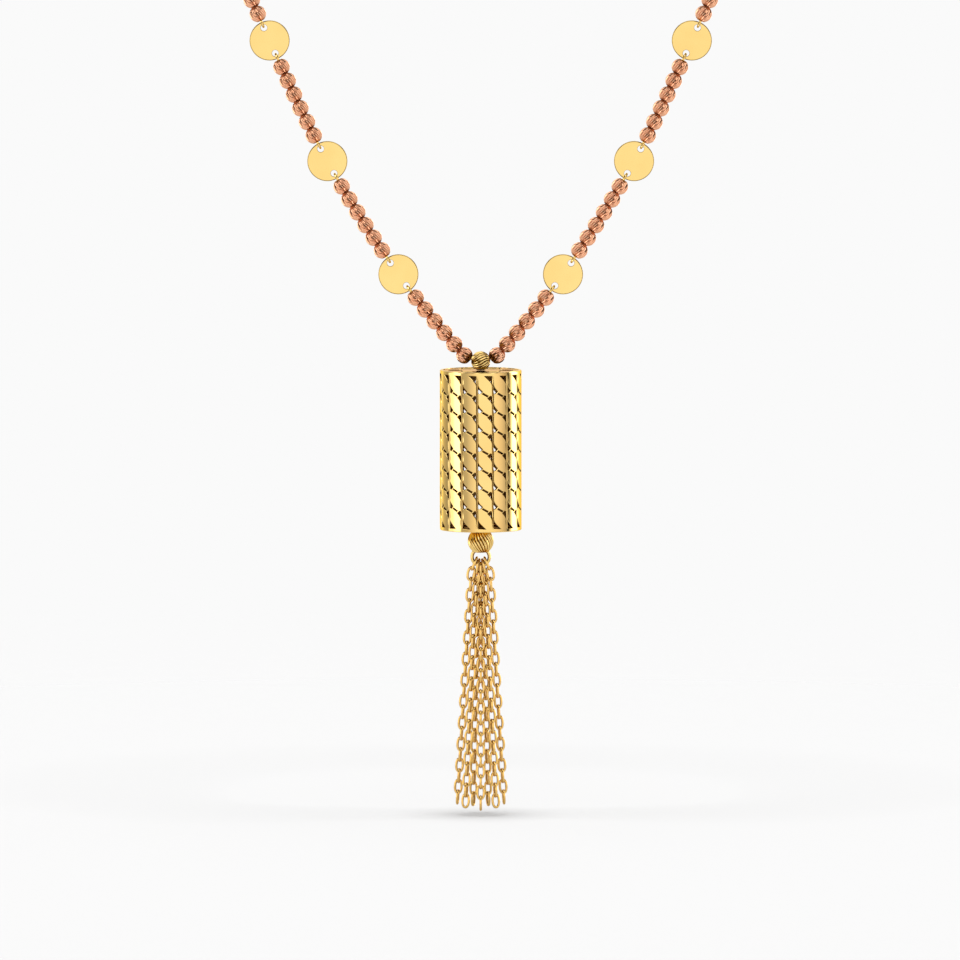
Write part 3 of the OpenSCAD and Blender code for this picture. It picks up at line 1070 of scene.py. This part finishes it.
def floor_material(middle):
    """Matt paper that glows faintly and fades out away from a middle, given in metres"""
    material = bpy.data.materials.new("floor_paper")
    material.use_nodes = True
    tree = material.node_tree
    tree.nodes.clear()
    paper = node_in(tree, "ShaderNodeBsdfPrincipled", 0, -200)
    paper.inputs["Base Color"].default_value = (FLOOR_TONE, FLOOR_TONE, FLOOR_TONE, 1)
    paper.inputs["Roughness"].default_value = 1.0
    paper.inputs["Specular IOR Level"].default_value = 0.0
    paper.inputs["Emission Color"].default_value = (1, 1, 1, 1)
    paper.inputs["Emission Strength"].default_value = FLOOR_GLOW
    clear = node_in(tree, "ShaderNodeBsdfTransparent", 0, 0)
    place = node_in(tree, "ShaderNodeTexCoord", -800)
    far = node_in(tree, "ShaderNodeVectorMath", -600, operation="DISTANCE")
    far.inputs[1].default_value = middle
    fade = node_in(tree, "ShaderNodeMapRange", -400, interpolation_type="SMOOTHSTEP")
    fade.inputs["From Min"].default_value = FLOOR_FADE
    fade.inputs["From Max"].default_value = FLOOR_R
    mix = node_in(tree, "ShaderNodeMixShader", 300)
    out = node_in(tree, "ShaderNodeOutputMaterial", 500)
    link = tree.links.new
    link(place.outputs["Object"], far.inputs[0])
    link(far.outputs["Value"], fade.inputs["Value"])
    link(fade.outputs["Result"], mix.inputs[0])
    link(paper.outputs["BSDF"], mix.inputs[1])
    link(clear.outputs["BSDF"], mix.inputs[2])
    link(mix.outputs["Shader"], out.inputs["Surface"])
    return material


def make_floor():
    """Plain pale floor just under the tassel's tips, which fades into the backdrop"""
    z = (cad_box[0][2] / MM - FLOOR_GAP) * MM
    x, y = pivot[:2] * MM
    mesh = bpy.data.meshes.new("floor")
    rim = circle(FLOOR_R, FLOOR_POINTS, (x, y))
    mesh.from_pydata([(*point, z) for point in rim], [], [tuple(range(FLOOR_POINTS))])
    mesh.materials.append(floor_material((x, y, z)))
    floor = bpy.data.objects.new("floor", mesh)
    bpy.context.scene.collection.objects.link(floor)


def ramp(tree, source, stops, x, y):
    """Colours over a value, from stops of (place, brightness, warmth)"""
    made = node_in(tree, "ShaderNodeValToRGB", x, y)
    elements = made.color_ramp.elements
    elements.remove(elements[-1])
    for i, (place, value, warmth) in enumerate(stops):
        stop = elements[0] if i == 0 else elements.new(place)
        stop.position = place
        stop.color = (*[value * (1 + warmth * (part - 1)) for part in WARM], 1)
    tree.links.new(source, made.inputs["Fac"])
    return made.outputs["Color"]


def math_of(tree, operation, values, x, y):
    """Math node over sockets or numbers"""
    made = node_in(tree, "ShaderNodeMath", x, y, operation=operation)
    for socket, value in zip(made.inputs, values):
        if isinstance(value, (int, float)):
            socket.default_value = value
        else:
            tree.links.new(value, socket)
    return made.outputs[0]


def studio_colour(tree):
    """Soft boxes and dark flags round the room, and plain bands of light over and under it"""
    place = node_in(tree, "ShaderNodeTexCoord", -1500)
    split = node_in(tree, "ShaderNodeSeparateXYZ", -1300)
    tree.links.new(place.outputs["Generated"], split.inputs["Vector"])
    x, y, z = split.outputs
    back = math_of(tree, "MULTIPLY", (y, -1.0), -1100, 200)
    around = math_of(tree, "ARCTAN2", (x, back), -900, 200)
    share = math_of(tree, "MULTIPLY_ADD", (around, 1 / (2 * math.pi), 0.5), -700, 200)
    room = ramp(tree, share, [((a + 180) / 360, v / WORLD_MAX, w) for a, v, w in ROOM], -500, 200)
    height = math_of(tree, "MULTIPLY_ADD", (z, 0.5, 0.5), -700, -200)
    level = ramp(tree, height, [((h + 1) / 2, v / WORLD_MAX, 0) for h, v in HEIGHTS], -500, -200)
    top = math_of(tree, "LESS_THAN", (z, ROOM_TOP), -500, -500)
    foot = math_of(tree, "GREATER_THAN", (z, ROOM_FOOT), -500, -700)
    both = node_in(tree, "ShaderNodeMix", -100, 0, data_type="RGBA")
    tree.links.new(math_of(tree, "MULTIPLY", (top, foot), -300, -500), both.inputs["Factor"])
    tree.links.new(level, both.inputs["A"])
    tree.links.new(room, both.inputs["B"])
    return both.outputs["Result"]


def studio_strength(tree, ray_depth):
    """Strength of the studio's light, which falls step by step for later reflections"""
    strength, before = WORLD_MAX, 1.0
    for i, (depth, left) in enumerate(INNER_LIGHT):
        deep = math_of(tree, "GREATER_THAN", (ray_depth, depth), -300, 500 + 200 * i)
        strength = math_of(tree, "MULTIPLY_ADD", (deep, WORLD_MAX * (left - before), strength),
                           -100, 500 + 200 * i)
        before = left
    return strength


def make_world():
    """Studio that lights the pieces and shows in them, with a pale backdrop for the camera"""
    world = bpy.data.worlds.new("studio")
    bpy.context.scene.world = world
    world.use_nodes = True
    tree = world.node_tree
    tree.nodes.clear()
    seen = node_in(tree, "ShaderNodeLightPath", -500, 500)
    studio = node_in(tree, "ShaderNodeBackground", 200, 0)
    tree.links.new(studio_strength(tree, seen.outputs["Ray Depth"]), studio.inputs["Strength"])
    tree.links.new(studio_colour(tree), studio.inputs["Color"])
    backdrop = node_in(tree, "ShaderNodeBackground", 200, -300)
    backdrop.inputs["Color"].default_value = (PAPER, PAPER, PAPER, 1)
    mix = node_in(tree, "ShaderNodeMixShader", 500)
    out = node_in(tree, "ShaderNodeOutputWorld", 700)
    tree.links.new(seen.outputs["Is Camera Ray"], mix.inputs[0])
    tree.links.new(studio.outputs[0], mix.inputs[1])
    tree.links.new(backdrop.outputs[0], mix.inputs[2])
    tree.links.new(mix.outputs[0], out.inputs["Surface"])


def make_lamp():
    """Lamp far overhead that throws the tassel's soft shadow on the floor"""
    lamp = bpy.data.lights.new("overhead_lamp", "SUN")
    lamp.energy = LAMP_STRENGTH
    lamp.angle = math.radians(LAMP_ANGLE)
    holder = bpy.data.objects.new("overhead_lamp", lamp)
    holder.visible_glossy = False
    bpy.context.scene.collection.objects.link(holder)


def make_camera():
    """Camera at the photograph's angle, with the pendant's pivot at its place in the frame"""
    data = bpy.data.cameras.new("camera")
    camera = bpy.data.objects.new("camera", data)
    bpy.context.scene.collection.objects.link(camera)
    data.sensor_width = SENSOR
    data.lens = SENSOR * CAMERA_AWAY / (PHOTO_SIDE * MM_PER_PIXEL * MM)
    data.clip_end = CAMERA_REACH
    to_right = (PHOTO_SIDE / 2 - PIVOT_PIXEL[0]) * MM_PER_PIXEL
    to_down = (PHOTO_SIDE / 2 - PIVOT_PIXEL[1]) * MM_PER_PIXEL
    target = Vector(pivot + (to_right, 0, -to_down / math.cos(CAMERA_RISE))) * MM
    back = Vector((0, -math.cos(CAMERA_RISE), math.sin(CAMERA_RISE)))
    camera.location = target + back * CAMERA_AWAY
    camera.rotation_mode = "QUATERNION"
    camera.rotation_quaternion = (-back).to_track_quat("-Z", "Y")
    bpy.context.scene.camera = camera


make_floor()
make_world()
make_lamp()
make_camera()
bpy.context.scene.view_settings.view_transform = "Standard"
